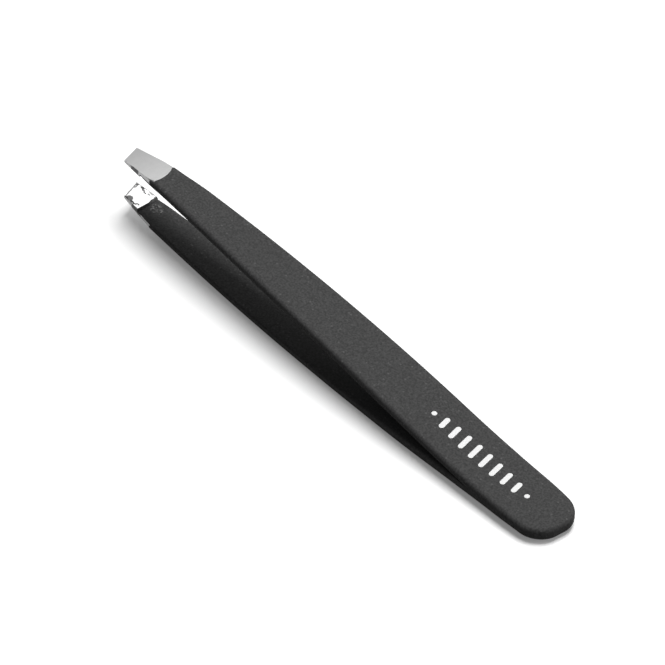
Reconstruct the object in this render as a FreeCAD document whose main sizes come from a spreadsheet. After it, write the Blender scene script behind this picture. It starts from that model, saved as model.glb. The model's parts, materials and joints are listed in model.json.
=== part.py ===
import FreeCAD, Part
import math
import os
import Sketcher

# Slant tweezers, in millimetres. Two steel arms are welded face to face at the heel and bow apart
# towards a pair of slanted jaws. A thin powder coat covers everything but the ground jaws.
#
# Every piece is drawn in the tweezers' own axes: X from the heel end to the jaws, Z away from the
# mid-plane between the arms, Y across. The upper arm is drawn and the lower one mirrored. The whole
# is then leaned and lifted into the way it lies on a table, on its heel and on the lower arm's belly.
DIMENSIONS = {
    "arm_length": 95.0,             # heel end to the longer corner of the jaw
    "coat": 0.10,                   # thickness of the powder coat
    "print_height": 0.04,           # thickness of the printed ink
    "split_at": 15.0,               # end of the weld, where each arm starts to flex
    "split_gap": 0.02,
    "heel_height": 1.2,             # mid-plane to the outer face at the heel
    "heel_flat": 8.0,               # the outer face is flat up to here
    "shoulder_radius": 174.0,       # the outer face turns outwards on this
    "shoulder_end": 25.6,
    "crown_radius": 553.0,          # then arches back along the arm
    "inner_recess": 3.68,           # mid-plane to the inner face just behind the jaw
    "inner_crown_start": 85.0,
    "inner_crown_radius": 605.0,
    "inner_crown_end": 26.0,
    "inner_shoulder_radius": 168.0,
    "inner_shoulder_end": 19.0,
    "land_height": 3.2,             # mid-plane to the gripping edge
    "land_rise": 0.08,              # the land falls away from the edge by this
    "land_start": 90.6,
    "recess_end": 90.2,
    "bevel_start": 86.9,            # the outer face of the jaw is ground from here
    "tip_thickness": 0.2,
    "heel_half_width": 4.73,
    "heel_end_radius": 36.0,
    "heel_corner_radius": 4.3,
    "side_straight": 12.4,          # the sides are parallel up to here
    "side_radius": 1217.0,          # then draw in on this
    "side_arc_end": 74.6,
    "jaw_shoulder": 90.4,           # the sides draw in harder from here
    "jaw_half_width": 1.6,
    "slant_run": 1.2,               # the far corner of the jaw is this much longer than the near one
    "edge_radius": 0.6,             # rounding of the coated outer edges
    "coat_edge_radius": 7.2,        # the coat ends on the outer face in an arc
    "coat_edge_crest": 86.55,
    "coat_edge_offset": 1.1,
    "coat_inner_end": 90.1,
    "weld_first": 4.0,
    "weld_pitch": 6.0,
    "weld_diameter": 2.6,
    "weld_thickness": 0.8,
    "mark_pitch": 2.2,
    "mark_width": 0.8,
    "mark_length": 3.0,
    "mark_lean": 14.0,
    "mark_offset": 0.15,
    "mark_base": 1.1,               # the strokes are cut from the ink above this height
    "rest_tilt": 3.28,              # lean of the mid-plane when the tweezers lie down
    "rest_lift": 1.165,
}
HEEL_MARKS = 4                      # strokes of the mark behind the split, and in front of it
ARM_MARKS = 6
CLEAR = 20.0                        # reach of the cutting tools past the tweezers
ON_FACE = 0.02                      # an edge this near a face's height lies on it
END_ZONE = 1.0                      # edges this near the axis, or the jaw's end, run across the arm

doc = FreeCAD.newDocument("slant_tweezers")
sheet = doc.addObject("Spreadsheet::Sheet", "dims")
for row, (alias, number) in enumerate(DIMENSIONS.items(), start=1):
    sheet.set(f"A{row}", alias)
    sheet.set(f"B{row}", str(number))
    sheet.setAlias(f"B{row}", alias)
doc.recompute()


def dim(expression):
    """The value of an expression in the sheet's aliases, such as 'dims.coat * 2'."""
    return float(sheet.evalExpression(expression))


def bind(target, **expressions):
    """Bind properties of an object to expressions in the sheet's aliases."""
    for name, expression in expressions.items():
        target.setExpression(name, expression)


# ---------------------------------------------------------------- sketches

def new_sketch(body, name, role):
    """A sketch of the body's own, on one of its origin planes."""
    sketch = body.newObject("Sketcher::SketchObject", name)
    plane = next(item for item in body.Origin.OriginFeatures if item.Role == role)
    sketch.AttachmentSupport = [(plane, "")]
    sketch.MapMode = "FlatFace"
    return sketch


def line_piece(start, end):
    """A straight run, and which of its ends begins and closes it."""
    return Part.LineSegment(FreeCAD.Vector(*start, 0), FreeCAD.Vector(*end, 0)), 1, 2


def arc_piece(start, end, centre):
    """The short arc from start to end. Sketch arcs run counter-clockwise, so it may be reversed."""
    angles = [math.atan2(p[1] - centre[1], p[0] - centre[0]) for p in (start, end)]
    turn = (angles[1] - angles[0] + math.pi) % (2 * math.pi) - math.pi
    radius = math.dist(start, centre)
    circle = Part.Circle(FreeCAD.Vector(*centre, 0), FreeCAD.Vector(0, 0, 1), radius)
    if turn > 0:
        return Part.ArcOfCircle(circle, angles[0], angles[0] + turn), 1, 2
    return Part.ArcOfCircle(circle, angles[1], angles[1] - turn), 2, 1


class Outline:
    """A closed chain of lines and arcs in a sketch, with its sizes bound to the sheet."""

    def __init__(self, sketch):
        self.sketch = sketch
        self.pieces = []

    def add(self, piece):
        curve, first, last = piece
        index = self.sketch.addGeometry(curve, False)
        self.pieces.append((index, first, last))
        return len(self.pieces) - 1

    def constrain(self, kind, *arguments, expression=None):
        index = self.sketch.addConstraint(Sketcher.Constraint(kind, *arguments))
        if expression:
            self.sketch.setExpression(f"Constraints[{index}]", expression)

    def join(self, smooth):
        """Join each piece to the next; the joins listed in smooth are tangent."""
        for number, (index, _, last) in enumerate(self.pieces):
            after, first, _ = self.pieces[(number + 1) % len(self.pieces)]
            kind = "Tangent" if number in smooth else "Coincident"
            self.constrain(kind, index, last, after, first)

    def place(self, piece, expression, axis):
        """Hold the start of a piece at a distance from the sketch's origin along X or Y."""
        index, first, _ = self.pieces[piece]
        value = dim(expression)
        if abs(value) < 1e-9:
            self.constrain("PointOnObject", index, first, -2 if axis == "X" else -1)
        elif value > 0:
            self.constrain(f"Distance{axis}", -1, 1, index, first, value, expression=expression)
        else:
            flipped = f"-({expression})"
            self.constrain(f"Distance{axis}", index, first, -1, 1, -value, expression=flipped)

    def size(self, piece, expression):
        index = self.pieces[piece][0]
        self.constrain("Radius", index, dim(expression), expression=expression)

    def level(self, *numbers):
        for number in numbers:
            self.constrain("Horizontal", self.pieces[number][0])

    def upright(self, *numbers):
        for number in numbers:
            self.constrain("Vertical", self.pieces[number][0])


def along_arc(start, slope, radius, end_x):
    """Follow a tangent arc from start to end_x. A positive radius turns towards +Y.

    Returns the end point, the slope angle there and the arc's centre."""
    centre = (start[0] - radius * math.sin(slope), start[1] + radius * math.cos(slope))
    end_slope = math.asin((end_x - centre[0]) / radius)
    end = (end_x, centre[1] - radius * math.cos(end_slope))
    return end, end_slope, centre


# ---------------------------------------------------------------- the arm

def side_profile(body, skin):
    """The arm seen from the side, from the mid-plane out. skin is how much is taken off the coated
    surface, as an expression: 0 for the coat's outside, dims.coat for the bare steel."""
    tip_x = dim("dims.arm_length")
    top_z = f"dims.heel_height - {skin}"
    shoulder = f"dims.shoulder_radius + {skin}"
    crown = f"dims.crown_radius - {skin}"
    recess = f"dims.inner_recess + {skin}"
    inner_crown = f"dims.inner_crown_radius + {skin}"
    inner_shoulder = f"dims.inner_shoulder_radius - {skin}"

    heel_low = (dim(skin), 0.0)
    heel_top = (dim(skin), dim(top_z))
    flat_end = (dim("dims.heel_flat"), dim(top_z))
    knee, slope, knee_centre = along_arc(flat_end, 0.0, dim(shoulder), dim("dims.shoulder_end"))
    top_tip, _, crown_centre = along_arc(knee, slope, -dim(crown), tip_x)
    grip = (tip_x, dim("dims.land_height"))
    land_back = (dim("dims.land_start"), dim("dims.land_height + dims.land_rise"))
    recess_end = (dim("dims.recess_end"), dim(recess))
    recess_start = (dim("dims.inner_crown_start"), dim(recess))
    bow, bow_slope, bow_centre = along_arc(
        recess_start, 0.0, -dim(inner_crown), dim("dims.inner_crown_end"))
    neck, neck_slope, neck_centre = along_arc(
        bow, bow_slope, dim(inner_shoulder), dim("dims.inner_shoulder_end"))
    split_x = dim("dims.split_at")
    split_high = (split_x, neck[1] + (split_x - neck[0]) * math.tan(neck_slope))
    split_low = (split_x, 0.0)

    outline = Outline(new_sketch(body, "side_profile", "XZ_Plane"))
    outline.add(line_piece(heel_low, heel_top))
    outline.add(line_piece(heel_top, flat_end))
    outline.add(arc_piece(flat_end, knee, knee_centre))
    outline.add(arc_piece(knee, top_tip, crown_centre))
    outline.add(line_piece(top_tip, grip))
    outline.add(line_piece(grip, land_back))
    outline.add(line_piece(land_back, recess_end))
    outline.add(line_piece(recess_end, recess_start))
    outline.add(arc_piece(recess_start, bow, bow_centre))
    outline.add(arc_piece(bow, neck, neck_centre))
    outline.add(line_piece(neck, split_high))
    outline.add(line_piece(split_high, split_low))
    outline.add(line_piece(split_low, heel_low))
    outline.join(smooth=(1, 2, 7, 8, 9))
    outline.upright(0, 4, 11)
    outline.level(1, 7, 12)
    stations = {0: skin, 2: "dims.heel_flat", 3: "dims.shoulder_end", 5: "dims.arm_length",
                6: "dims.land_start", 7: "dims.recess_end", 8: "dims.inner_crown_start",
                9: "dims.inner_crown_end", 10: "dims.inner_shoulder_end", 11: "dims.split_at"}
    for piece, expression in stations.items():
        outline.place(piece, expression, "X")
    heights = {0: "0", 1: top_z, 5: "dims.land_height",
               6: "dims.land_height + dims.land_rise", 7: recess}
    for piece, expression in heights.items():
        outline.place(piece, expression, "Y")
    for piece, expression in {2: shoulder, 3: crown, 8: inner_crown, 9: inner_shoulder}.items():
        outline.size(piece, expression)
    return outline.sketch


def plan_points(skin):
    """Corner points of the arm seen from above on the +Y side, and the arcs' centres."""
    half = dim(f"dims.heel_half_width - {skin}")
    end_radius = dim(f"dims.heel_end_radius - {skin}")
    corner = dim(f"dims.heel_corner_radius - {skin}")
    end_centre = (dim("dims.heel_end_radius"), 0.0)
    corner_y = half - corner
    reach = math.sqrt((end_radius - corner) ** 2 - corner_y ** 2)
    corner_centre = (end_centre[0] - reach, corner_y)
    scale = end_radius / (end_radius - corner)
    end_edge = (end_centre[0] - reach * scale, corner_y * scale)
    corner_end = (corner_centre[0], half)
    straight_end = (dim("dims.side_straight"), half)
    waist, slope, side_centre = along_arc(
        straight_end, 0.0, -dim(f"dims.side_radius - {skin}"), dim("dims.side_arc_end"))
    shoulder_x = dim("dims.jaw_shoulder")
    shoulder = (shoulder_x, waist[1] + (shoulder_x - waist[0]) * math.tan(slope))
    return end_edge, end_centre, corner_end, corner_centre, straight_end, waist, side_centre, shoulder


def plan_cut(body, skin):
    """Everything outside the arm's outline seen from above, out to a rectangle round the blank."""
    (end_edge, end_centre, corner_end, corner_centre,
     straight_end, waist, side_centre, shoulder) = plan_points(skin)
    jaw = dim("dims.jaw_half_width")
    length = dim("dims.arm_length")
    near_corner = (length - dim("dims.slant_run"), jaw)
    far_corner = (length, -jaw)

    def other(point):
        return (point[0], -point[1])

    outline = Outline(new_sketch(body, "plan_outline", "XY_Plane"))
    outline.add(arc_piece(other(end_edge), end_edge, end_centre))
    outline.add(arc_piece(end_edge, corner_end, corner_centre))
    outline.add(line_piece(corner_end, straight_end))
    outline.add(arc_piece(straight_end, waist, side_centre))
    outline.add(line_piece(waist, shoulder))
    outline.add(line_piece(shoulder, near_corner))
    outline.add(line_piece(near_corner, far_corner))
    outline.add(line_piece(far_corner, other(shoulder)))
    outline.add(line_piece(other(shoulder), other(waist)))
    outline.add(arc_piece(other(waist), other(straight_end), other(side_centre)))
    outline.add(line_piece(other(straight_end), other(corner_end)))
    outline.add(arc_piece(other(corner_end), other(end_edge), other(corner_centre)))
    outline.join(smooth=(0, 1, 2, 3, 8, 9, 10, 11))
    outline.level(2, 10)
    half = f"dims.heel_half_width - {skin}"
    for piece, expression in {3: "dims.side_straight", 4: "dims.side_arc_end", 5: "dims.jaw_shoulder",
                              6: "dims.arm_length - dims.slant_run", 7: "dims.arm_length",
                              8: "dims.jaw_shoulder", 9: "dims.side_arc_end",
                              10: "dims.side_straight"}.items():
        outline.place(piece, expression, "X")
    for piece, expression in {3: half, 10: f"-({half})", 6: "dims.jaw_half_width",
                              7: "-dims.jaw_half_width"}.items():
        outline.place(piece, expression, "Y")
    side = f"dims.side_radius - {skin}"
    corner = f"dims.heel_corner_radius - {skin}"
    for piece, expression in {0: f"dims.heel_end_radius - {skin}", 1: corner, 3: side,
                              9: side, 11: corner}.items():
        outline.size(piece, expression)

    frame = [(-CLEAR, -CLEAR), (length + CLEAR, -CLEAR), (length + CLEAR, CLEAR), (-CLEAR, CLEAR)]
    border = Outline(outline.sketch)
    for number, corner_point in enumerate(frame):
        border.add(line_piece(corner_point, frame[(number + 1) % 4]))
    border.join(smooth=())
    border.level(0, 2)
    border.upright(1, 3)
    border.place(0, f"-{CLEAR}", "X")
    border.place(0, f"-{CLEAR}", "Y")
    border.place(2, f"dims.arm_length + {CLEAR}", "X")
    border.place(2, f"{CLEAR}", "Y")
    return outline.sketch


def symmetric(feature, length_expression):
    """Run a pad or pocket equally to both sides of its sketch."""
    if "SideType" in feature.PropertiesList:
        feature.SideType = "Symmetric"
    else:
        feature.Midplane = True
    bind(feature, Length=length_expression)


def pocket(body, name, sketch, length_expression):
    """Cut a sketch through the body and make sure that it removed something."""
    doc.recompute()
    before = body.Shape.Volume
    feature = body.newObject("PartDesign::Pocket", name)
    feature.Profile = sketch
    symmetric(feature, length_expression)
    sketch.Visibility = False
    doc.recompute()
    if body.Shape.Volume > before - 0.1:
        raise RuntimeError(f"{body.Name}: {name} cut nothing")
    return feature


def outer_height(x):
    """Height of the coated outer face over the mid-plane."""
    flat_end = (dim("dims.heel_flat"), dim("dims.heel_height"))
    if x <= flat_end[0]:
        return flat_end[1]
    knee_x = dim("dims.shoulder_end")
    knee, slope, _ = along_arc(flat_end, 0.0, dim("dims.shoulder_radius"), min(x, knee_x))
    if x <= knee_x:
        return knee[1]
    return along_arc(knee, slope, -dim("dims.crown_radius"), x)[0][1]


def outer_edges(shape, skin_value):
    """Names of the edges round the outer face, without those across it and the one at the jaw."""
    names = []
    for number, edge in enumerate(shape.Edges, start=1):
        middle = edge.valueAt((edge.FirstParameter + edge.LastParameter) / 2)
        on_top = abs(middle.z - (outer_height(middle.x) - skin_value)) < ON_FACE
        beside = abs(middle.y) > END_ZONE and middle.x < dim("dims.arm_length") - END_ZONE
        if on_top and (beside or middle.x < END_ZONE):
            names.append(f"Edge{number}")
    return names


def arm_blank(name, skin):
    """One whole arm, from the heel end to the jaw, before the jaw's outer face is ground."""
    body = doc.addObject("PartDesign::Body", name)
    pad = body.newObject("PartDesign::Pad", "bar")
    pad.Profile = side_profile(body, skin)
    symmetric(pad, "dims.heel_half_width * 4")
    trimmed = pocket(body, "trim", plan_cut(body, skin), "dims.arm_length")
    fillet = body.newObject("PartDesign::Fillet", "soft_edges")
    fillet.Base = (trimmed, outer_edges(trimmed.Shape, dim(skin)))
    bind(fillet, Radius=f"dims.edge_radius - {skin}")
    doc.recompute()
    return body


def grind_bevel(body):
    """Grind the outer face of the jaw down to a thin edge."""
    start_x = dim("dims.bevel_start")
    start_z = outer_height(start_x) - dim("dims.coat")
    end_x = dim("dims.arm_length")
    end_z = dim("dims.land_height + dims.tip_thickness")
    over_x = end_x + 1.0
    over_z = end_z - (start_z - end_z) / (end_x - start_x)
    corners = [(start_x, start_z), (over_x, over_z), (over_x, start_z + 1.0), (start_x, start_z + 1.0)]
    outline = Outline(new_sketch(body, "bevel", "XZ_Plane"))
    for number, corner in enumerate(corners):
        outline.add(line_piece(corner, corners[(number + 1) % 4]))
    outline.join(smooth=())
    outline.level(2)
    outline.upright(1, 3)
    outline.place(0, "dims.bevel_start", "X")
    outline.place(1, "dims.arm_length + 1", "X")
    outline.constrain("DistanceY", -1, 1, outline.pieces[0][0], 1, start_z)
    outline.constrain("DistanceY", -1, 1, outline.pieces[1][0], 1, over_z)
    outline.constrain("DistanceY", -1, 1, outline.pieces[2][0], 1, start_z + 1.0)
    return pocket(body, "ground_face", outline.sketch, "dims.heel_half_width * 4")


# ---------------------------------------------------------------- booleans

def box(name, low, high):
    """A box between two corners, each coordinate an expression."""
    block = doc.addObject("Part::Box", name)
    for axis, side, start, end in zip("xyz", ("Length", "Width", "Height"), low, high):
        block.setExpression(f".Placement.Base.{axis}", start)
        block.setExpression(side, f"({end}) - ({start})")
    return block


def boolean(kind, name, base, tool):
    result = doc.addObject(f"Part::{kind}", name)
    result.Base = base
    result.Tool = tool
    return result


def united(name, shapes):
    result = doc.addObject("Part::MultiFuse", name)
    result.Shapes = shapes
    return result


def mirrored(name, source):
    """The same piece on the other side of the mid-plane."""
    result = doc.addObject("Part::Mirroring", name)
    result.Source = source
    result.Base = FreeCAD.Vector(0, 0, 0)
    result.Normal = FreeCAD.Vector(0, 0, 1)
    return result


steel = arm_blank("steel_blank", "dims.coat")
grind_bevel(steel)
coated = arm_blank("coated_blank", "0")
inked = arm_blank("inked_blank", "(-dims.print_height)")

reach = f"{CLEAR}"
heel_zone = box("heel_zone", (f"-{reach}", f"-{reach}", f"-{reach}"), ("dims.split_at", reach, reach))
arm_zone = box("arm_zone", ("dims.split_at + dims.split_gap", f"-{reach}", f"-{reach}"),
               (f"dims.arm_length + {reach}", reach, reach))


# Welds: two lens-shaped nuggets through the joint face of the heel.
def weld(number):
    ball_radius = "((dims.weld_diameter / 2)^2 + (dims.weld_thickness / 2)^2) / dims.weld_thickness"
    balls = []
    for side, sign in (("over", 1), ("under", -1)):
        ball = doc.addObject("Part::Sphere", f"weld_{number}_{side}")
        bind(ball, Radius=ball_radius)
        ball.setExpression(".Placement.Base.x", f"dims.weld_first + {number} * dims.weld_pitch")
        rise = f"{sign} * ({ball_radius} - dims.weld_thickness / 2)"
        ball.setExpression(".Placement.Base.z", rise)
        balls.append(ball)
    return boolean("Common", f"weld_{number}", *balls)


nuggets = united("nuggets", [weld(0), weld(1)])

# Coat: the coated blank less the steel, open over the ground jaw. On the inner face it runs on to
# the step behind the jaw's land.
bare_face = doc.addObject("PartDesign::Body", "bare_face")


def bare_face_sketch():
    """The outline of the uncoated outer face, seen from above, with its arched edge."""
    crest = dim("dims.coat_edge_crest")
    radius = dim("dims.coat_edge_radius")
    middle = dim("dims.coat_edge_offset")
    half = dim("dims.heel_half_width")
    centre = (crest + radius, middle)
    far_x = crest + radius - math.sqrt(radius ** 2 - (half + middle) ** 2)
    near_x = crest + radius - math.sqrt(radius ** 2 - (half - middle) ** 2)
    end_x = dim("dims.arm_length") + 1.0
    far, near = (far_x, -half), (near_x, half)
    outline = Outline(new_sketch(bare_face, "bare_outline", "XY_Plane"))
    outline.add(arc_piece(far, near, centre))
    outline.add(line_piece(near, (end_x, half)))
    outline.add(line_piece((end_x, half), (end_x, -half)))
    outline.add(line_piece((end_x, -half), far))
    outline.join(smooth=())
    outline.level(1, 3)
    outline.upright(2)
    outline.place(1, "dims.heel_half_width", "Y")
    outline.place(3, "-dims.heel_half_width", "Y")
    outline.place(2, "dims.arm_length + 1", "X")
    outline.size(0, "dims.coat_edge_radius")
    arc = outline.pieces[0][0]
    outline.constrain("DistanceX", -1, 1, arc, 3, centre[0],
                      expression="dims.coat_edge_crest + dims.coat_edge_radius")
    outline.constrain("DistanceY", -1, 1, arc, 3, centre[1], expression="dims.coat_edge_offset")
    return outline.sketch


bare_pad = bare_face.newObject("PartDesign::Pad", "bare_pad")
bare_pad.Profile = bare_face_sketch()
bind(bare_pad, Length="dims.heel_half_width")
bare_face.setExpression(".Placement.Base.z", "dims.inner_recess + dims.coat")
jaw_zone = box("jaw_zone", ("dims.coat_inner_end", f"-{reach}", f"-{reach}"),
               (f"dims.arm_length + {reach}", reach, reach))

skin_full = boolean("Cut", "skin_full", coated, steel)
skin_heel = boolean("Common", "skin_heel", skin_full, heel_zone)
skin_arm = boolean("Common", "skin_arm", skin_full, arm_zone)
skin_open = boolean("Cut", "skin_open", skin_arm, united("bare_tools", [bare_face, jaw_zone]))


# Printed mark: a row of leaning strokes with a dot at each end, on the upper outer face.
def stroke(number):
    """One stroke of the mark as an upright prism. The first and last are dots."""
    last = HEEL_MARKS + ARM_MARKS - 1
    is_dot = number in (0, last)
    body = doc.addObject("PartDesign::Body", f"stroke_{number}")
    width = dim("dims.mark_width")
    bow = math.sin(math.pi * (number + 0.5) / (last + 1))
    half_run = 0.0 if is_dot else (dim("dims.mark_length") * (0.6 + 0.4 * bow) - width) / 2
    pad = body.newObject("PartDesign::Pad", f"stroke_pad_{number}")
    sketch = new_sketch(body, f"stroke_outline_{number}", "XY_Plane")
    if is_dot:
        centre = FreeCAD.Vector(0, 0, 0)
        sketch.addGeometry(Part.Circle(centre, FreeCAD.Vector(0, 0, 1), width / 2), False)
        sketch.addConstraint(Sketcher.Constraint("Coincident", 0, 3, -1, 1))
        index = sketch.addConstraint(Sketcher.Constraint("Radius", 0, width / 2))
        sketch.setExpression(f"Constraints[{index}]", "dims.mark_width / 2")
    else:
        slot = Outline(sketch)
        side = width / 2
        slot.add(line_piece((side, -half_run), (side, half_run)))
        top = Part.Circle(FreeCAD.Vector(0, half_run, 0), FreeCAD.Vector(0, 0, 1), side)
        slot.add((Part.ArcOfCircle(top, 0, math.pi), 1, 2))
        slot.add(line_piece((-side, half_run), (-side, -half_run)))
        foot = Part.Circle(FreeCAD.Vector(0, -half_run, 0), FreeCAD.Vector(0, 0, 1), side)
        slot.add((Part.ArcOfCircle(foot, math.pi, 2 * math.pi), 1, 2))
        slot.join(smooth=(0, 1, 2, 3))
        slot.upright(0)
        slot.place(0, "dims.mark_width / 2", "X")
        slot.constrain("PointOnObject", slot.pieces[1][0], 3, -2)
        slot.constrain("DistanceY", -1, 1, slot.pieces[1][0], 3, half_run)
        slot.constrain("DistanceY", slot.pieces[3][0], 3, -1, 1, half_run)
    pad.Profile = sketch
    bind(pad, Length="dims.heel_height * 4")
    steps = number - HEEL_MARKS + 0.5
    body.setExpression(".Placement.Base.x", f"dims.split_at + {steps} * dims.mark_pitch")
    body.setExpression(".Placement.Base.y", "dims.mark_offset")
    body.setExpression(".Placement.Base.z", "dims.mark_base")
    body.setExpression(".Placement.Rotation.Angle", "dims.mark_lean * 1deg")
    return body


ink_full = boolean("Cut", "ink_full", inked, coated)
strokes = [stroke(number) for number in range(HEEL_MARKS + ARM_MARKS)]

# ---------------------------------------------------------------- the pieces that are handed over

tang = boolean("Common", "tang", steel, heel_zone)
blade = boolean("Common", "blade", steel, arm_zone)
pieces = {
    "upper_arm": blade,
    "lower_arm": mirrored("blade_below", blade),
    "upper_tang": boolean("Cut", "tang_pocketed", tang, nuggets),
    "lower_tang": boolean("Cut", "tang_below_pocketed", mirrored("tang_below", tang), nuggets),
    "weld_nuggets": nuggets,
    "heel_coating": united("skin_heel_both", [skin_heel, mirrored("skin_heel_below", skin_heel)]),
    "upper_coating": skin_open,
    "lower_coating": mirrored("skin_below", skin_open),
    "heel_print": boolean("Common", "ink_heel", ink_full, united("heel_strokes", strokes[:HEEL_MARKS])),
    "arm_print": boolean("Common", "ink_arm", ink_full, united("arm_strokes", strokes[HEEL_MARKS:])),
}
doc.recompute()

# Lean and lift every piece together, with the origin under the middle of the object.
lean = FreeCAD.Rotation(FreeCAD.Vector(0, 1, 0), -dim("dims.rest_tilt"))
shift = FreeCAD.Vector(-dim("dims.arm_length") / 2, 0, dim("dims.rest_lift"))
rest = FreeCAD.Placement(shift, FreeCAD.Rotation()).multiply(
    FreeCAD.Placement(FreeCAD.Vector(0, 0, 0), lean))
handed = []
for label, source in pieces.items():
    piece = doc.addObject("Part::Compound", f"node_{label}")
    piece.Links = [source]
    piece.Label = label
    piece.Placement = rest
    handed.append(piece)
doc.recompute()

# ---------------------------------------------------------------- checks and files

for item in doc.Objects:
    if "Invalid" in item.State or "Error" in item.State:
        raise RuntimeError(f"{item.Name} failed: {item.State}")
for piece in handed:
    if piece.Shape.isNull() or not piece.Shape.isValid():
        raise RuntimeError(f"{piece.Label}: bad shape")
os.makedirs("parts", exist_ok=True)
for piece in handed:
    bounds = piece.Shape.optimalBoundingBox(False)
    print(f"{piece.Label:14s} solids {len(piece.Shape.Solids)} volume {piece.Shape.Volume:8.3f}"
          f" x {bounds.XMin:8.3f} {bounds.XMax:8.3f} y {bounds.YMin:7.3f} {bounds.YMax:7.3f}"
          f" z {bounds.ZMin:7.3f} {bounds.ZMax:7.3f}")
    piece.Shape.exportStep(f"parts/{piece.Label}.step")
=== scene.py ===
import json
import math

import bmesh
import bpy
import numpy as np
from mathutils import Matrix, Vector


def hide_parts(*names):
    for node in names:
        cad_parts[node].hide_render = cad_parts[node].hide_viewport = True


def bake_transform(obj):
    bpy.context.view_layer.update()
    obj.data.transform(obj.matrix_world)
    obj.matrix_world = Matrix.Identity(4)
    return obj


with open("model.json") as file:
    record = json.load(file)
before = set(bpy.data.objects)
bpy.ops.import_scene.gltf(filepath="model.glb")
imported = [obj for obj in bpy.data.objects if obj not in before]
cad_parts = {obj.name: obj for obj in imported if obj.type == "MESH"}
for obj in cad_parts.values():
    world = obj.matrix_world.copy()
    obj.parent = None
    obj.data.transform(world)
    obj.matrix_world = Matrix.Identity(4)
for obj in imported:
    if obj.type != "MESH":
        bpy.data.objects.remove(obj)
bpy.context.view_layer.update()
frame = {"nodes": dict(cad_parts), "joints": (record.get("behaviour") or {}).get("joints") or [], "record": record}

# Slant tweezers. Lengths are millimetres in the tweezers' own axes until place() turns them into
# metres in the frame: x from the heel end to the jaws, y across, z away from the mid-plane between
# the arms. The lower arm is the upper one's mirror image, with a few values of its own: in the tables
# that have two keys, 1 is the upper arm and -1 the lower.

MM = 0.001

# ---------------------------------------------------------------- where the tweezers lie

hinge = Vector(next(j for j in frame["joints"] if j["name"] == "upper_arm_flex")["pos_m"])
rest_face = next(m for m in frame["record"]["mounts"] if m["name"] == "heel_under_face")
AWAY = -Vector(rest_face["axis"])                     # from the mid-plane to the upper arm
ALONG = Vector((0, 1, 0)).cross(AWAY)                 # from the heel to the jaws
SPLIT_AT = 15.0                                       # the weld ends and the arms part
origin = hinge - ALONG * SPLIT_AT * MM


def place(points, side):
    """Points in the tweezers' axes to metres in the frame. side is 1 for the upper arm and -1 for the
    lower one."""
    p = np.asarray(points, float) * MM
    across = np.array((0.0, 1.0, 0.0))
    return (np.array(origin) + p[..., 0:1] * np.array(ALONG) + p[..., 1:2] * across
            + side * p[..., 2:3] * np.array(AWAY))


# ---------------------------------------------------------------- the arm's shape

COAT = 0.10
HEEL_HEIGHT, HEEL_FLAT = 1.2, 8.0
SHOULDER_RADIUS, SHOULDER_END = 174.0, 25.6
CROWN_RADIUS = 553.0
FACE_CROWN_AT, FACE_CROWN_RADII = (40.0, 90.0), (110.0, 48.0)   # the outer face's crown across its width
RECESS = 3.68
INNER_CROWN_START, INNER_CROWN_RADIUS, INNER_CROWN_END = 85.0, 605.0, 26.0
INNER_SHOULDER_RADIUS, INNER_SHOULDER_END = 168.0, 19.0
SEAM_GAP = 0.0006                                     # half the seam between the welded halves
LENGTH, JAW_START = 95.0, 86.7
TIP_LEFT, TIP_RIGHT = (94.95, -1.4), (93.75, 1.85)    # the corners of the slanted end, (x, y)
JAW_LEFT, JAW_RIGHT = -2.14, 2.42                     # the bare steel's sides where the jaw starts
LAND_HEIGHT, LAND_RISE = 3.2, 0.08
LAND_START, STEP_RUN = {1: 89.95, -1: 90.5}, 0.08
LAND_NOTCH, NOTCH_WIDTH = 0.23, 0.7                   # the land's back edge steps forward on the left
TIP_THICKNESS, TIP_SLOPE = 0.2, 0.17                  # thicker where the slant cuts the jaw further back
HALF_WIDTH, END_RADIUS, CORNER_RADIUS = 4.73, 36.0, 3.8
SIDE_STRAIGHT, SIDE_RADIUS, SIDE_ARC_END = 12.4, 1217.0, 74.6
TAPER_FROM = 80.0                                     # the sections start to lean towards the jaw edges
COAT_CREST, COAT_ARC, COAT_OFFSET = 86.38, 7.4, 1.15   # the coat's arched edge on the outer face
COAT_SIDE_TOP, COAT_SIDE_END = {"right": 87.4, "left": 87.0}, {"right": 87.15, "left": 87.0}
COAT_LIP, BEVEL_SLOPE, BEVEL_HEIGHT = 0.07, 0.18, 4.0
COAT_CLEARANCE, COAT_BACK_OFF = 0.008, 0.02           # from the steel, and from the step behind a land
# The rounding of the coated outer edges at points along each half. The lower half is pillowed at the
# heel, where EDGE_STRETCH draws its rounding out across the width.
EDGE_AT = {1: (0.0, 10.0, 30.0, 55.0, 82.0), -1: (0.0, 5.0, 10.0, 16.0, 24.0, 36.0, 50.0, 82.0)}
EDGE_HEIGHTS = {1: (0.74, 0.67, 0.60, 0.58, 0.60), -1: (1.04, 0.98, 0.66, 0.40, 0.34, 0.44, 0.66, 0.60)}
EDGE_STRETCH, EDGE_STRETCH_AT = {1: 1.0, -1: 1.3}, (5.0, 14.0)    # whole at 5, gone at 14
INNER_EDGE_AT, INNER_EDGES = (14.0, 20.0, 84.0, 87.0), (0.02, 0.26, 0.26, 0.10)
INNER_EDGE_SHRINK, INNER_EDGE_LEAST = 0.6, 0.015      # smaller under the coat, down to a least value
LAND_EDGE_FROM, LAND_EDGE = 89.0, 0.02                # the land's own edges are crisp
LOWER_BOW, BOW_START, BOW_END = 0.18, 9.0, 40.0       # the lower arm bows out of the weld sooner
HEEL_WARP_END = 9.0                                   # the heel's round end is slightly uneven up to here
HEEL_NARROWING, HEEL_SHIFT = 0.12, 0.125              # it narrows, and more at its left
HEEL_LEAN, HEEL_SET_BACK = 0.04, 0.025                # and its left corner is the longer one


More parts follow.
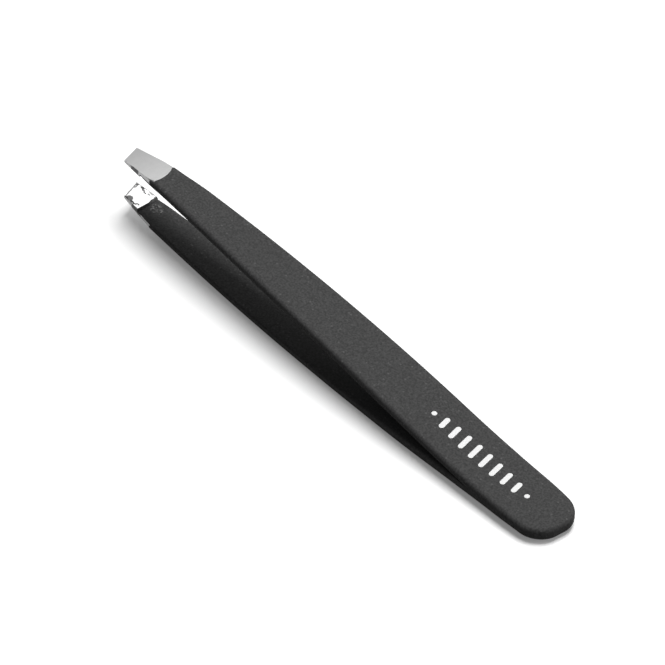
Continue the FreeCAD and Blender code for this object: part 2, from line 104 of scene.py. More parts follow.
def outer_height(x):
    """Mid-plane to the coated outer face, along its centre line."""
    run = SHOULDER_END - HEEL_FLAT
    shoulder_x = np.clip(x, HEEL_FLAT, SHOULDER_END) - HEEL_FLAT
    shoulder = HEEL_HEIGHT + SHOULDER_RADIUS - np.sqrt(SHOULDER_RADIUS ** 2 - shoulder_x ** 2)
    slope = math.asin(run / SHOULDER_RADIUS)
    knee = HEEL_HEIGHT + SHOULDER_RADIUS * (1 - math.cos(slope))
    crown_x = np.maximum(x, SHOULDER_END) - SHOULDER_END - CROWN_RADIUS * math.sin(slope)
    crown = knee - CROWN_RADIUS * math.cos(slope) + np.sqrt(CROWN_RADIUS ** 2 - crown_x ** 2)
    return np.where(x <= SHOULDER_END, shoulder, crown)


def inner_height(x):
    """Mid-plane to the coated inner face behind the land. The halves meet where the arms are welded."""
    slope = math.asin((INNER_CROWN_START - INNER_CROWN_END) / INNER_CROWN_RADIUS)
    crown_x = INNER_CROWN_START - np.clip(x, INNER_CROWN_END, INNER_CROWN_START)
    crown = RECESS - INNER_CROWN_RADIUS + np.sqrt(INNER_CROWN_RADIUS ** 2 - crown_x ** 2)
    crown_end = RECESS - INNER_CROWN_RADIUS * (1 - math.cos(slope))
    run = INNER_SHOULDER_RADIUS * math.sin(slope)
    neck_x = run - (INNER_CROWN_END - np.clip(x, INNER_SHOULDER_END, INNER_CROWN_END))
    neck = (crown_end + INNER_SHOULDER_RADIUS * math.cos(slope)
            - np.sqrt(INNER_SHOULDER_RADIUS ** 2 - neck_x ** 2))
    end_run = run - (INNER_CROWN_END - INNER_SHOULDER_END)
    end_slope = end_run / math.sqrt(INNER_SHOULDER_RADIUS ** 2 - end_run ** 2)
    root = neck - np.clip(INNER_SHOULDER_END - x, 0, None) * end_slope
    height = np.where(x >= INNER_CROWN_END, crown, root)
    return np.maximum(np.where(x <= SPLIT_AT, 0.0, height), SEAM_GAP)


def shaft_half(x):
    """Half the coated width, past the rounded heel end and before the jaw."""
    run = SIDE_ARC_END - SIDE_STRAIGHT
    slope = run / math.sqrt(SIDE_RADIUS ** 2 - run ** 2)
    arc_x = np.clip(x - SIDE_STRAIGHT, 0, run)
    waist = HALF_WIDTH - SIDE_RADIUS + np.sqrt(SIDE_RADIUS ** 2 - arc_x ** 2)
    return waist - np.clip(x - SIDE_ARC_END, 0, None) * slope


def side_y(x, left):
    """The coated side of an arm, left or right. The jaw's sides run straight to the corners of its end."""
    tip, jaw = (TIP_LEFT, JAW_LEFT) if left else (TIP_RIGHT, JAW_RIGHT)
    sign = -1 if left else 1
    share = np.clip((x - TAPER_FROM) / (JAW_START - TAPER_FROM), 0, 1)
    join = jaw + sign * COAT - sign * shaft_half(JAW_START)
    shaft = sign * shaft_half(x) + join * share * share * (3 - 2 * share)
    ground = jaw + sign * COAT + (x - JAW_START) * (tip[1] - jaw) / (tip[0] - JAW_START)
    return np.where(x <= JAW_START, shaft, ground)


def half_width(x):
    """Half the coated width, past the rounded heel end."""
    return (side_y(x, False) - side_y(x, True)) / 2


def centre(x):
    """The jaws lean slightly to the right."""
    return (side_y(x, False) + side_y(x, True)) / 2


def face_sag(x, y):
    """How far the slightly crowned outer face lies under its centre line."""
    return y ** 2 / (2 * np.interp(x, FACE_CROWN_AT, FACE_CROWN_RADII))


def outer_face(x, y):
    """Mid-plane to the coated outer face, at a distance y from the centre line."""
    return outer_height(x) - face_sag(x, y)


def bow(x, side):
    """How much further out an arm's outer face lies than outer_height, past the weld."""
    share = np.clip((x - BOW_START) / (BOW_END - BOW_START), 0, 1)
    return LOWER_BOW * np.sin(math.pi * share) ** 2 if side < 0 else 0.0


def uneven_heel(x, y):
    """x and y, moved slightly near the heel's round end."""
    share = np.clip(1 - x / HEEL_WARP_END, 0, 1) ** 2
    return x + (HEEL_SET_BACK + HEEL_LEAN * y) * share, y + (HEEL_SHIFT - HEEL_NARROWING * y) * share


def coat_edge(y):
    """Where the coat ends on the outer face, at a distance y from the centre line."""
    return COAT_CREST + COAT_ARC - np.sqrt(COAT_ARC ** 2 - (y - COAT_OFFSET) ** 2)


def tip_x(y):
    """The slanted end of the jaw."""
    return TIP_LEFT[0] + (TIP_RIGHT[0] - TIP_LEFT[0]) * (y - TIP_LEFT[1]) / (TIP_RIGHT[1] - TIP_LEFT[1])


def ground_face(x, y):
    """The bare bevel, straight from the coat's edge to the end of the jaw."""
    start = coat_edge(y)
    top = outer_face(start, y) - COAT
    tip = tip_x(y)
    tip_height = LAND_HEIGHT + TIP_THICKNESS + (LENGTH - tip) * TIP_SLOPE
    return top + (tip_height - top) * (x - start) / (tip - start)


def land_start(y, side):
    """The back edge of the gripping land, set further forward on the left."""
    share = np.clip(-y / NOTCH_WIDTH, 0, 1)
    return LAND_START[side] + LAND_NOTCH * share * share * (3 - 2 * share)


def steel_inner(x, y, side):
    """The steel's inner face: recess, step and gripping land."""
    foot, back = LAND_START[side] - STEP_RUN, land_start(y, side)
    recess = inner_height(x) + COAT
    land = LAND_HEIGHT + LAND_RISE * (LENGTH - x) / (LENGTH - LAND_START[side])
    share = np.clip((x - foot) / (back - foot), 0, 1)
    return recess + (land - recess) * share


# ---------------------------------------------------------------- sections round an arm

FACE_COLUMNS, OUTER_STEPS, SIDE_STEPS, INNER_STEPS = 18, 8, 3, 4
CORNER_STATIONS, STATION_SPACING = 26, 0.8
COAT_STATIONS, LIP_STEPS, LINING_STATIONS = 26, 6, 12   # along the coat past TAPER_FROM
STEEL_STATIONS = (14, 14, 1, 16)                      # to the coat's edge, the step, the land and the end
MERGE_DISTANCE = 0.0004


def section_keys():
    """The points round a section as (part, share, side of the centre line), starting at the left of the
    outer face and going right, down, back under and up."""
    def steps(count, first=1):
        return [i / count for i in range(first, count + 1)]

    right = ([("outer_round", s, 1) for s in steps(OUTER_STEPS)]
             + [("side", s, 1) for s in steps(SIDE_STEPS)]
             + [("inner_round", s, 1) for s in steps(INNER_STEPS)])
    columns = [2 * s - 1 for s in steps(FACE_COLUMNS, 0)]
    left = [(part, share, -1) for part, share, side in reversed(right)]
    return [("outer", s, 1) for s in columns] + right + [("inner", -s, 1) for s in columns[1:]] + left[1:]


KEYS = section_keys()
PARTS = np.array([k[0] for k in KEYS])
SHARES = np.array([k[1] for k in KEYS])
SIDES = np.array([k[2] for k in KEYS], float)
IS = {part: PARTS == part for part in ("outer", "outer_round", "side", "inner_round", "inner")}


def outline_stations(until):
    """Points of the right-hand outline from the heel's end face: x, half width and outward normal."""
    centre_y = HALF_WIDTH - CORNER_RADIUS
    centre_x = END_RADIUS - math.sqrt((END_RADIUS - CORNER_RADIUS) ** 2 - centre_y ** 2)
    lean = math.atan2(centre_y, END_RADIUS - centre_x)
    rows = []
    for a in np.linspace(lean, math.pi / 2, CORNER_STATIONS):
        rows.append((centre_x - CORNER_RADIUS * math.cos(a), centre_y + CORNER_RADIUS * math.sin(a),
                     -math.cos(a), math.sin(a)))
    count = int((until - centre_x) / STATION_SPACING)
    for x in np.linspace(centre_x, until, count)[1:]:
        rows.append((x, float(half_width(x)), 0.0, 1.0))
    return np.array(rows)


def sections(x, width, normal_x, normal_y, skin, steel, side):
    """Surface points [section, key, axis]. x and width are [section, key], skin is the depth under the
    coated surface, steel says whether the jaw is ground, and side is 1 for the upper arm."""
    edge = np.interp(x, EDGE_AT[side], EDGE_HEIGHTS[side]) - skin
    run = edge * np.interp(x, EDGE_STRETCH_AT, (EDGE_STRETCH[side], 1.0))
    inner_edge = np.interp(x, INNER_EDGE_AT, INNER_EDGES)
    inner_edge = np.clip(inner_edge - skin * INNER_EDGE_SHRINK, INNER_EDGE_LEAST, None)
    if steel:
        inner_edge = np.where(x > LAND_EDGE_FROM, LAND_EDGE, inner_edge)
    across = np.where(IS["outer"] | IS["inner"], SHARES, SIDES)
    y_guess = centre(x) + across * (width - skin)
    cut = np.zeros_like(x)
    if steel:
        bare = x > coat_edge(y_guess)
        cut = np.where(bare, np.clip(outer_face(x, y_guess) - skin - ground_face(x, y_guess), 0, None), 0)
    start = np.arccos(np.clip(1 - cut / edge, 0, 1))
    angle = np.where(IS["outer_round"], start + SHARES * (math.pi / 2 - start), start)
    inset = np.where(IS["outer"] | IS["outer_round"], run * (1 - np.sin(angle)), 0.0)
    turn = SHARES * math.pi / 2
    inset = np.where(IS["inner_round"], inner_edge * (1 - np.cos(turn)), inset)
    inset = np.where(IS["inner"], inner_edge, inset)
    total = skin + inset
    px = x - normal_x * total
    py = centre(px) + across * (width - normal_y * total)
    whole = outer_face(px, py) + bow(px, side) - skin
    high = np.where(cut > 0, np.minimum(ground_face(px, py), whole), whole) if steel else whole
    low = steel_inner(px, py, side) if steel else inner_height(px) + skin
    side_low = low + inner_edge
    side_top = np.maximum(np.where(cut < edge, whole - edge, high), side_low)
    rounded = np.where(cut < edge, whole - edge * (1 - np.cos(angle)), high)
    pz = np.select([IS["outer"], IS["outer_round"], IS["side"], IS["inner_round"]],
                   [high, np.maximum(rounded, side_low), side_top + SHARES * (side_low - side_top),
                    low + inner_edge * (1 - np.sin(turn))], low)
    return np.stack([*uneven_heel(px, py), pz], axis=-1)


def heel_to_taper(skin, steel, side):
    """Sections from the heel's end face to TAPER_FROM."""
    rows = outline_stations(TAPER_FROM)
    ones = np.ones((1, len(KEYS)))
    return sections(rows[:, 0:1] * ones, rows[:, 1:2] * ones, rows[:, 2:3], rows[:, 3:4], skin, steel, side)


def key_y(x, skin):
    """Roughly how far across each point of a section lies, at x."""
    x = np.full(len(KEYS), x)
    return centre(x) + np.where(IS["outer"] | IS["inner"], SHARES, SIDES) * (half_width(x) - skin)


def jaw_sections(lines, counts, skin, steel, side):
    """Sections past the taper that pass through the given lines, each an x for every key."""
    spans = zip(lines[:-1], lines[1:], counts)
    x = np.array([first + (last - first) * i / count
                  for first, last, count in spans for i in range(1, count + 1)])
    return sections(x, half_width(x), 0.0, 1.0, skin, steel, side)


def coat_stop(side):
    """Where the coat ends, for each point round a section. The bevel cuts it back on the face and it
    reaches further down the edges, where the bevel has not cut so deep."""
    y = key_y(JAW_START, 0.0)
    face = coat_edge(y)
    right = SIDES > 0
    top = np.where(right, COAT_SIDE_TOP["right"], COAT_SIDE_TOP["left"])
    end = np.where(right, COAT_SIDE_END["right"], COAT_SIDE_END["left"])
    depth = np.where(IS["outer_round"], EDGE_HEIGHTS[side][-1] * (1 - np.cos(SHARES * math.pi / 2)), 0.0)
    stop = np.minimum(face + np.clip(depth - COAT, 0, None) / BEVEL_SLOPE, np.maximum(top, face))
    stop = np.where(IS["side"], top + (end - top) * SHARES, stop)
    inner_stop = LAND_START[side] - STEP_RUN - COAT_BACK_OFF
    stop = np.where(IS["inner_round"], end + (inner_stop - end) * SHARES, stop)
    return np.where(IS["inner"], inner_stop, stop)


def coat_grid(side):
    """The coat as one sleeve: outer skin to the jaw opening, round its lip, and back inside."""
    under = COAT - COAT_CLEARANCE
    flat = np.full(len(KEYS), TAPER_FROM)
    stop = coat_stop(side)
    grids = [heel_to_taper(0.0, False, side),
             jaw_sections([flat, stop - COAT_LIP], [COAT_STATIONS], 0.0, False, side)]
    for a in np.linspace(0, math.pi / 2, LIP_STEPS + 1)[1:]:
        x = (stop - COAT_LIP + COAT_LIP * math.sin(a))[None, :]
        grids.append(sections(x, half_width(x), 0.0, 1.0, COAT_LIP * (1 - math.cos(a)), False, side))
    grids.append(sections(stop[None, :], half_width(stop)[None, :], 0.0, 1.0, under, False, side))
    grids += [jaw_sections([flat, stop - COAT_LIP], [LINING_STATIONS], under, False, side)[::-1],
              heel_to_taper(under, False, side)[::-1]]
    return np.concatenate(grids)


def steel_grid(side):
    """One steel strip from the heel to the slanted end of its jaw."""
    flat = np.full(len(KEYS), TAPER_FROM)
    land = land_start(key_y(LAND_START[side], COAT), side)
    middle = (TIP_LEFT[0] + TIP_RIGHT[0]) / 2
    foot = np.full(len(KEYS), LAND_START[side] - STEP_RUN)
    lines = [flat, coat_edge(key_y(JAW_START, COAT)), foot, land, tip_x(key_y(middle, COAT))]
    return np.concatenate([heel_to_taper(COAT, True, side),
                           jaw_sections(lines, STEEL_STATIONS, COAT, True, side)])


def make_object(name, bm, materials, sharp=35.0):
    """An object that is smooth, but for edges that turn by more than sharp degrees."""
    mesh = bpy.data.meshes.new(name)
    bm.to_mesh(mesh)
    bm.free()
    for material in materials:
        mesh.materials.append(material)
    mesh.shade_smooth()
    mesh.set_sharp_from_angle(angle=math.radians(sharp))
    obj = bpy.data.objects.new(name, mesh)
    bpy.context.collection.objects.link(obj)
    return obj


def end_wall(bm, row):
    """Closes the heel's short end face, from the left half of a section to the right."""
    turn = OUTER_STEPS + SIDE_STEPS + INNER_STEPS
    inner = FACE_COLUMNS + turn                       # where the inner face starts, at its right
    right = [row[FACE_COLUMNS + i] for i in range(turn + 1)]
    left = [row[-i] for i in range(turn + 1)]
    bm.faces.new([right[1]] + row[FACE_COLUMNS::-1] + [left[1]])
    bm.faces.new([left[-2]] + row[inner + FACE_COLUMNS:inner - 1:-1] + [right[-2]])
    for i in range(1, turn - 1):
        bm.faces.new((right[i], right[i + 1], left[i + 1], left[i]))


def closed(bm):
    """Joins the points that meet and turns every face outward."""
    bmesh.ops.remove_doubles(bm, verts=bm.verts, dist=MERGE_DISTANCE * MM)
    bmesh.ops.recalc_face_normals(bm, faces=bm.faces)
    return bm


def add_band(bm, first, second):
    """Faces between two rings of points."""
    count = len(first)
    for k in range(count):
        bm.faces.new((first[k], first[(k + 1) % count], second[(k + 1) % count], second[k]))


def grid_mesh(grid, side, ends_in_jaw):
    """A closed mesh from sections that start at the heel's end face and end there again, or in the
    jaw's end."""
    bm = bmesh.new()
    rows = [[bm.verts.new(p) for p in row] for row in place(grid, side)]
    for first, second in zip(rows[:-1], rows[1:]):
        add_band(bm, first, second)
    end_wall(bm, rows[0])
    if ends_in_jaw:
        bm.faces.new(rows[-1])
    else:
        end_wall(bm, rows[-1])
    return closed(bm)


# ---------------------------------------------------------------- the printed marks

MARKS, MARK_PITCH, MARK_WIDTH, MARK_LENGTH = 10, 2.2, 0.8, 3.0
MARK_LEAN, MARK_OFFSET, MARK_HEIGHT = math.radians(14.0), 0.15, 0.02
MARKS_BEFORE_SPLIT, SHORTEST_MARK, ROUND_STEPS = 3.5, 0.6, 12
MARK_LEVELS = ((0.0, -0.01), (0.0, 0.45), (0.02, 0.85), (0.05, 1.0), (0.2, 1.0))  # (inset, share of height)


def mark_ring(centre_x, half_run, radius):
    """The round-ended outline of one stroke on the outer face, in plan."""
    ring = []
    for end in (1, -1):
        for i in range(ROUND_STEPS + 1):
            a = math.pi * i / ROUND_STEPS + (0 if end > 0 else math.pi)
            u, v = radius * math.cos(a), end * half_run + radius * math.sin(a)
            ring.append((centre_x - u * math.cos(MARK_LEAN) + v * math.sin(MARK_LEAN),
                         MARK_OFFSET - u * math.sin(MARK_LEAN) - v * math.cos(MARK_LEAN)))
    return ring


def print_mesh():
    """Every stroke as a thin raised pad with a softened rim. The first and the last are dots."""
    bm = bmesh.new()
    for i in range(MARKS):
        middle = SPLIT_AT + (i - MARKS_BEFORE_SPLIT) * MARK_PITCH
        swell = math.sin(math.pi * i / (MARKS - 1))
        length = MARK_LENGTH * (SHORTEST_MARK + (1 - SHORTEST_MARK) * swell)
        if i in (0, MARKS - 1):
            length = MARK_WIDTH
        rings = []
        for inset, rise in MARK_LEVELS:
            xy = np.array(mark_ring(middle, (length - MARK_WIDTH) / 2, MARK_WIDTH / 2 - inset))
            z = outer_face(xy[:, 0], xy[:, 1]) + MARK_HEIGHT * rise
            rings.append([bm.verts.new(p) for p in place(np.column_stack([xy, z]), 1)])
        for low, high in zip(rings[:-1], rings[1:]):
            add_band(bm, low, high)
        bm.faces.new(rings[0])
        bm.faces.new(rings[-1])
    return closed(bm)


# ---------------------------------------------------------------- materials

# Ovals on the jaws, each (x, y, reach along x, reach along y, strength), with the raggedness before
# the strength where it isn't the usual one.
# Painted dark reflection in the steel along the right edge of the jaw.
PAINTED_SIDE_REFLECTION = ((90.7, 2.18, 0.85, 0.20, 0.12, 0.97), (91.5, 2.10, 0.8, 0.17, 0.12, 0.97),
         (89.9, 2.28, 0.5, 0.12, 0.12, 0.8))
# Painted dark reflections on the gripping lands.
PAINTED_LAND_REFLECTIONS = ((93.12, 1.50, 0.66, 0.60, 0.88), (93.5, 1.80, 0.50, 0.26, 0.97), (92.35, 1.70, 0.50, 0.22, 0.97),
          (91.85, 1.74, 0.42, 0.16, 0.97), (91.55, 1.56, 0.16, 0.28, 0.97), (91.32, 1.38, 0.34, 0.15, 0.95),
          (94.6, -1.15, 0.22, 0.34, 0.92), (94.42, -0.65, 0.16, 0.42, 0.75),
          (93.62, -1.28, 0.48, 0.26, 0.95), (93.1, -1.05, 0.44, 0.18, 0.85),
          (92.6, -0.88, 0.34, 0.16, 0.88), (91.95, -1.12, 0.34, 0.16, 0.70),
          (91.9, -1.5, 0.6, 0.14, 0.6), (90.85, -1.5, 0.30, 0.36, 0.75))
MOTTLING = (89.3, -0.3, 1.4, 1.0, 0.3, 0.8)
LAND_RIMS = ((TIP_LEFT, TIP_RIGHT), ((JAW_START, JAW_LEFT), TIP_LEFT), ((JAW_START, JAW_RIGHT), TIP_RIGHT))
RIM_WIDTH, RIM_STRENGTH = 0.13, 0.82
PATCH_GRAIN = 0.35                                    # the size of the raggedness round a patch


def grey(value):
    return (value, value, value)


class Finish:
    """A Principled material with short names for the nodes it needs. Scales are in millimetres."""

    def __init__(self, name, **inputs):
        self.material = bpy.data.materials.new(name)
        self.material.use_nodes = True
        self.nodes = self.material.node_tree.nodes
        self.links = self.material.node_tree.links
        self.shader = self.nodes["Principled BSDF"]
        for key, value in inputs.items():
            self.shader.inputs[key.replace("_", " ")].default_value = value
        self.where = self.nodes.new("ShaderNodeTexCoord").outputs["Object"]

    def link(self, source, name):
        """Drives one of the shader's inputs."""
        self.links.new(source, self.shader.inputs[name])

    def scaled(self, stretch):
        """The object's own coordinates, times stretch."""
        node = self.nodes.new("ShaderNodeMapping")
        node.inputs["Scale"].default_value = stretch
        self.links.new(self.where, node.inputs["Vector"])
        return node.outputs["Vector"]

    def noise(self, size, detail=2.0, rough=0.5, stretch=(1, 1, 1)):
        """Noise whose blobs are about size millimetres, drawn out by stretch."""
        node = self.nodes.new("ShaderNodeTexNoise")
        node.inputs["Scale"].default_value = 1.0
        node.inputs["Detail"].default_value = detail
        node.inputs["Roughness"].default_value = rough
        self.links.new(self.scaled([s / (size * MM) for s in stretch]), node.inputs["Vector"])
        return node.outputs["Fac"]

    def specks(self, size):
        """Distance from scattered points about size millimetres apart, and a random grey for each."""
        node = self.nodes.new("ShaderNodeTexVoronoi")
        node.inputs["Scale"].default_value = 1.0
        self.links.new(self.scaled([1 / (size * MM)] * 3), node.inputs["Vector"])
        return node.outputs["Distance"], node.outputs["Color"]

    def patch(self, x, y, reach_x, reach_y, wobble=0.25):
        """1 inside an oval on an arm, in the tweezers' x and y, 0 outside, with a ragged rim."""
        jitter = self.nodes.new("ShaderNodeTexNoise")
        jitter.inputs["Scale"].default_value = 1.0
        jitter.inputs["Detail"].default_value = 3.0
        self.links.new(self.scaled([1 / (PATCH_GRAIN * MM)] * 3), jitter.inputs["Vector"])
        shifted = self.nodes.new("ShaderNodeVectorMath")
        shifted.operation = "MULTIPLY_ADD"
        self.links.new(jitter.outputs["Color"], shifted.inputs[0])
        shifted.inputs[1].default_value = [wobble * MM] * 3
        self.links.new(self.where, shifted.inputs[2])
        oval = self.nodes.new("ShaderNodeMapping")
        oval.vector_type = "TEXTURE"
        middle = place([[x, y, 0]], 1)[0] + wobble * MM / 2
        oval.inputs["Location"].default_value = (middle[0], middle[1], 0)
        oval.inputs["Scale"].default_value = (reach_x * MM, reach_y * MM, 1)
        self.links.new(shifted.outputs["Vector"], oval.inputs["Vector"])
        reach = self.nodes.new("ShaderNodeVectorMath")
        reach.operation = "LENGTH"
        self.links.new(oval.outputs["Vector"], reach.inputs[0])
        return self.ramp(reach.outputs["Value"], ((0.72, 1.0), (1.0, 0.0)))

    def rim(self, first, last, width):
        """1 along the straight edge between two points of an arm, fading to 0 over a ragged width."""
        start, end = (place([[*point, 0]], 1)[0] for point in (first, last))
        across = Vector((start[1] - end[1], end[0] - start[0], 0)).normalized()
        away = self.nodes.new("ShaderNodeVectorMath")
        away.operation = "DOT_PRODUCT"
        self.links.new(self.where, away.inputs[0])
        away.inputs[1].default_value = across
        offset = self.math("SUBTRACT", away.outputs["Value"], float(start @ across))
        distance = self.math("ABSOLUTE", offset)
        ragged = self.math("MULTIPLY", self.noise(0.5, 3.0), 2 * width * MM)
        return self.ramp(self.math("DIVIDE", distance, ragged), ((0.5, 1.0), (1.0, 0.0)))

    def patches(self, *ovals):
        """The strongest of several patches at each point. Each is what patch() takes, then a strength."""
        total = 0.0
        for *oval, strength in ovals:
            total = self.math("MAXIMUM", self.math("MULTIPLY", self.patch(*oval), strength), total)
        return total

    def ramp(self, source, stops, smooth=True):
        """Maps a value through (position, value) stops."""
        node = self.nodes.new("ShaderNodeValToRGB")
        node.color_ramp.interpolation = "EASE" if smooth else "LINEAR"
        elements = node.color_ramp.elements
        while len(elements) < len(stops):
            elements.new(0.5)
        for element, (position, value) in zip(elements, stops):
            element.position = position
            element.color = (value, value, value, 1)
        self.links.new(source, node.inputs["Fac"])
        return node.outputs["Color"]

    def math(self, operation, first, second=0.0):
        """An operation on two values, each a number or a socket."""
        node = self.nodes.new("ShaderNodeMath")
        node.operation = operation
        for slot, value in zip(node.inputs, (first, second)):
            if isinstance(value, (int, float)):
                slot.default_value = value
            else:
                self.links.new(value, slot)
        return node.outputs["Value"]

    def mix(self, share, first, second):
        """Two colours mixed, with share of the second. Each is a colour or a socket."""
        node = self.nodes.new("ShaderNodeMix")
        node.data_type = "RGBA"
        for key, value in (("Factor", share), ("A", first), ("B", second)):
            slot = node.inputs[key]
            if isinstance(value, tuple):
                slot.default_value = (*value, 1)
            else:
                self.links.new(value, slot)
        return node.outputs["Result"]

    def bump(self, height, depth):
        """Raises the surface by height, where 1 is depth millimetres."""
        node = self.nodes.new("ShaderNodeBump")
        node.inputs["Distance"].default_value = depth * MM
        self.links.new(height, node.inputs["Height"])
        self.link(node.outputs["Normal"], "Normal")


def powder_coat():
    """Charcoal powder coat: a fine grain, a cloudy tone, scattered pale flecks, and paler mottling just
    behind the lands."""
    f = Finish("powder_coat", IOR=1.45, Specular_IOR_Level=0.02)
    grain = f.noise(0.30, 3.0, 0.6)
    cloud = f.noise(2.6, 3.0, 0.6)
    distance, tone = f.specks(0.6)
    fleck = f.math("MULTIPLY", f.ramp(distance, ((0.10, 1.0), (0.34, 0.0))),
                   f.ramp(tone, ((0.45, 0.0), (0.95, 1.0))))
    base = f.mix(f.ramp(grain, ((0.30, 0.0), (0.70, 1.0))), grey(0.025), grey(0.048))
    base = f.mix(f.math("MULTIPLY", cloud, 0.40), base, grey(0.028))
    base = f.mix(f.math("MULTIPLY", fleck, 0.7), base, grey(0.08))
    mottle = f.math("MULTIPLY", f.ramp(f.noise(0.28, 3.0), ((0.50, 0.0), (0.64, 1.0))),
                    f.patches(MOTTLING))
    f.link(f.mix(mottle, base, grey(0.15)), "Base Color")
    f.link(f.ramp(f.noise(0.6, 2.0), ((0.25, 0.60), (0.75, 0.72))), "Roughness")
    f.bump(f.math("ADD", grain, f.math("MULTIPLY", fleck, 0.5)), 0.012)
    return f.material


def ground_steel():
    """Satin steel ground across the jaw, duller towards its end, with a painted dark reflection along the right
    edge.
    """
    f = Finish("ground_steel", Metallic=1.0, IOR=2.5)
    lines = f.noise(0.05, 3.0, 0.6, (1.0, 0.06, 1.0))
    haze = f.noise(1.2, 3.0, 0.55)
    split = f.nodes.new("ShaderNodeSeparateXYZ")
    f.links.new(f.where, split.inputs["Vector"])
    jaw_x, end_x = (place([[x, 0, BEVEL_HEIGHT]], 1)[0][0] for x in (JAW_START, LENGTH))
    along = f.math("DIVIDE", f.math("SUBTRACT", split.outputs["X"], float(jaw_x)), float(end_x - jaw_x))
    bright = f.mix(haze, grey(0.31), grey(0.38))
    dull = f.mix(haze, grey(0.23), grey(0.275))
    base = f.mix(f.ramp(along, ((0.0, 0.0), (1.0, 1.0)), False), bright, dull)
    # painted dark reflection along the right edge
    f.link(f.mix(f.patches(*PAINTED_SIDE_REFLECTION), base, grey(0.02)), "Base Color")
    scratches = f.math("ADD", f.math("MULTIPLY", lines, 0.6), f.math("MULTIPLY", haze, 0.4))
    f.link(f.ramp(scratches, ((0.3, 0.30), (0.7, 0.44))), "Roughness")
    f.bump(lines, 0.004)
    return f.material


def polished_steel():
    """The gripping lands: bright steel with painted dark reflections in patches, and darker along the land's
    edges.
    """
    f = Finish("polished_steel", Metallic=1.0, IOR=2.5)
    haze = f.noise(0.6, 4.0, 0.6)
    # painted dark reflections in patches, then darker along the land's edges
    painted_reflection_and_rims = f.patches(*PAINTED_LAND_REFLECTIONS)
    for first, last in LAND_RIMS:
        rim = f.math("MULTIPLY", f.rim(first, last, RIM_WIDTH), RIM_STRENGTH)
        painted_reflection_and_rims = f.math("MAXIMUM", rim, painted_reflection_and_rims)
    bright = f.mix(haze, grey(0.44), grey(0.55))
    f.link(f.mix(painted_reflection_and_rims, bright, grey(0.015)), "Base Color")
    f.link(f.mix(painted_reflection_and_rims, f.ramp(haze, ((0.3, 0.16), (0.7, 0.08))), grey(0.34)), "Roughness")
    f.bump(f.noise(0.7, 2.0), 0.012)
    return f.material


def painted_shade_steel():
    """The step behind a land, painted dark as shade."""
    f = Finish("painted_shade_steel", Metallic=1.0, IOR=2.5)
    shade_noise = f.noise(0.3, 3.0, 0.6)
    # painted shade: near-black steel on the step
    f.link(f.mix(shade_noise, grey(0.02), grey(0.10)), "Base Color")
    f.link(f.ramp(shade_noise, ((0.3, 0.62), (0.7, 0.48))), "Roughness")
    f.bump(shade_noise, 0.01)
    return f.material


def ink():
    """Matt white print with pinholes where the grain of the coat shows through."""
    f = Finish("ink", IOR=1.45)
    grain = f.noise(0.14, 3.0, 0.6)
    f.link(f.ramp(grain, ((0.22, 0.24), (0.36, 0.42), (0.8, 0.48))), "Base Color")
    f.link(f.ramp(grain, ((0.3, 0.6), (0.7, 0.45))), "Roughness")
    f.bump(grain, 0.008)
    return f.material


def weld_metal():
    """Weld metal with fine ripples and a straw tint."""
    f = Finish("weld_metal", Metallic=1.0, IOR=2.5)
    heat = f.noise(0.8, 3.0)
    f.link(f.mix(heat, (0.34, 0.31, 0.27), (0.52, 0.50, 0.48)), "Base Color")
    f.link(f.ramp(heat, ((0.3, 0.55), (0.7, 0.38))), "Roughness")
    f.bump(f.noise(0.12, 2.0), 0.01)
    return f.material


COAT_FINISH, GROUND, POLISHED = powder_coat(), ground_steel(), polished_steel()
SHADED_STEP, INK, WELD = painted_shade_steel(), ink(), weld_metal()


# ---------------------------------------------------------------- the pieces

FACES_LAND, FACES_STEP = 0.9, 0.02                    # how squarely a face looks at the other arm, at least


def flexing(obj, body, slot, *nodes):
    """Hides these CAD nodes, which the piece stands for, and bakes the piece's placement into its mesh."""
    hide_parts(*nodes)
    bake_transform(obj)


def finish_jaw(steel, side):
    """Polished metal on the gripping land and metal with painted shade on the step behind it. The rest is ground.
    """
    land_normal = np.array(AWAY) * -side
    step_foot = place([[LAND_START[side] - STEP_RUN, 0, 0]], side)[0] @ np.array(ALONG)
    for face in steel.data.polygons:
        inward = np.array(face.normal) @ land_normal
        past_foot = np.array(face.center) @ np.array(ALONG) - step_foot
        if inward > FACES_LAND and past_foot > 0:
            face.material_index = 1
        elif inward > FACES_STEP and 0 < past_foot < (STEP_RUN + LAND_NOTCH) * MM:
            face.material_index = 2


def half(body, side):
    """One steel strip and the sleeve of coat over it."""
    steel = make_object(f"{body}_steel_strip", grid_mesh(steel_grid(side), side, True),
                        (GROUND, POLISHED, SHADED_STEP))
    finish_jaw(steel, side)
    flexing(steel, body, "steel", f"{body}_arm", f"{body}_tang")
    coat = make_object(f"{body}_coat", grid_mesh(coat_grid(side), side, False), (COAT_FINISH,), sharp=50.0)
    flexing(coat, body, "coat", f"{body}_coating", "heel_coating")


half("upper", 1)
half("lower", -1)
marks = make_object("printed_marks", print_mesh(), (INK,), sharp=60.0)
flexing(marks, "upper", "ink", "heel_print", "arm_print")

nuggets = frame["nodes"]["weld_nuggets"]
nuggets.data.materials.clear()
nuggets.data.materials.append(WELD)


# ---------------------------------------------------------------- floor, light and camera

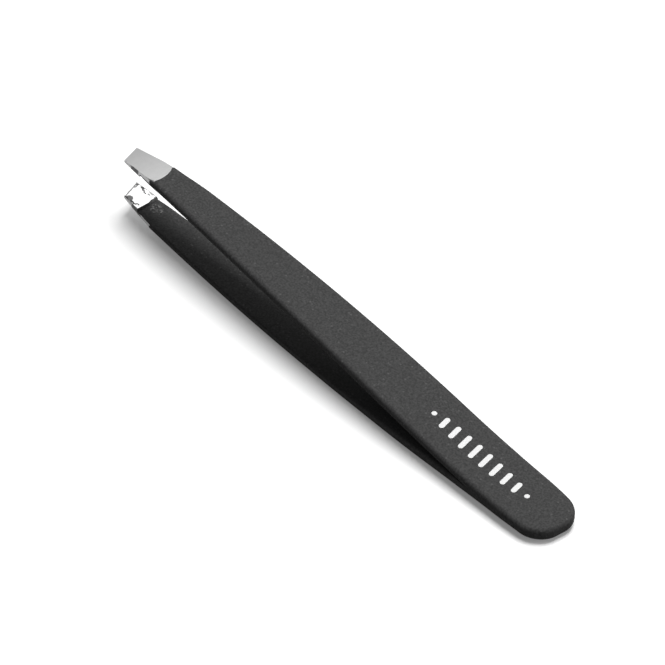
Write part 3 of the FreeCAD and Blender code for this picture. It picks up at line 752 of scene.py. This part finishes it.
def floor():
    """A pale floor that glows a little, so that its shadows stay pale."""
    f = Finish("floor", Roughness=0.9, IOR=1.2, Emission_Color=(1, 1, 1, 1), Emission_Strength=0.15)
    f.link(f.mix(f.noise(6.0, 2.0), grey(0.55), grey(0.57)), "Base Color")
    bm = bmesh.new()
    bmesh.ops.create_grid(bm, x_segments=8, y_segments=8, size=4.0)
    obj = make_object("floor", bm, (f.material,))
    obj.visible_diffuse = False                       # it throws no light back on the sides of the tweezers


def area_light(name, towards, distance, size, power):
    """A soft box over the tweezers, in the direction towards."""
    light = bpy.data.lights.new(name, "AREA")
    light.shape = "RECTANGLE"
    light.size, light.size_y = size
    light.energy = power
    obj = bpy.data.objects.new(name, light)
    direction = Vector(towards).normalized()
    obj.location = direction * distance
    obj.rotation_euler = (-direction).to_track_quat("-Z", "Y").to_euler()
    bpy.context.collection.objects.link(obj)


def camera():
    """Looks down over the heel and the right-hand side, with the jaws at the upper left."""
    azimuth, elevation, roll = math.radians(231.016), math.radians(40.3665), math.radians(-1.1733)
    distance, focal_share = 1208.74 * MM, 12.9502
    target = Vector((1.9375, -0.1806, 5.0)) * MM
    back = Vector((math.sin(azimuth) * math.cos(elevation), -math.cos(azimuth) * math.cos(elevation),
                   math.sin(elevation)))
    right = (-back).cross(Vector((0, 0, 1))).normalized()
    up = right.cross(-back)
    turned_right = right * math.cos(roll) + up * math.sin(roll)
    turned_up = up * math.cos(roll) - right * math.sin(roll)
    data = bpy.data.cameras.new("camera")
    data.sensor_width = 36.0
    data.lens = data.sensor_width * focal_share
    data.clip_start, data.clip_end = 0.1, 10.0
    obj = bpy.data.objects.new("camera", data)
    obj.matrix_world = Matrix.Translation(target + back * distance) @ Matrix(
        (turned_right, turned_up, back)).transposed().to_4x4()
    bpy.context.collection.objects.link(obj)
    bpy.context.scene.camera = obj


floor()
camera()
area_light("key", (0.0, -0.24, 1.0), 1.0, (0.5, 0.5), 14.9)
area_light("side", (-0.80, -0.58, 0.22), 1.2, (0.8, 0.5), 5.6)
area_light("backdrop", (0.50, -0.56, 0.72), 1.5, (1.1, 1.1), 8.4)
world = bpy.data.worlds.new("world")
world.use_nodes = True
background = world.node_tree.nodes["Background"]
background.inputs["Color"].default_value = (1, 1, 1, 1)
background.inputs["Strength"].default_value = 0.28
bpy.context.scene.world = world
bpy.context.scene.view_settings.view_transform = "Standard"
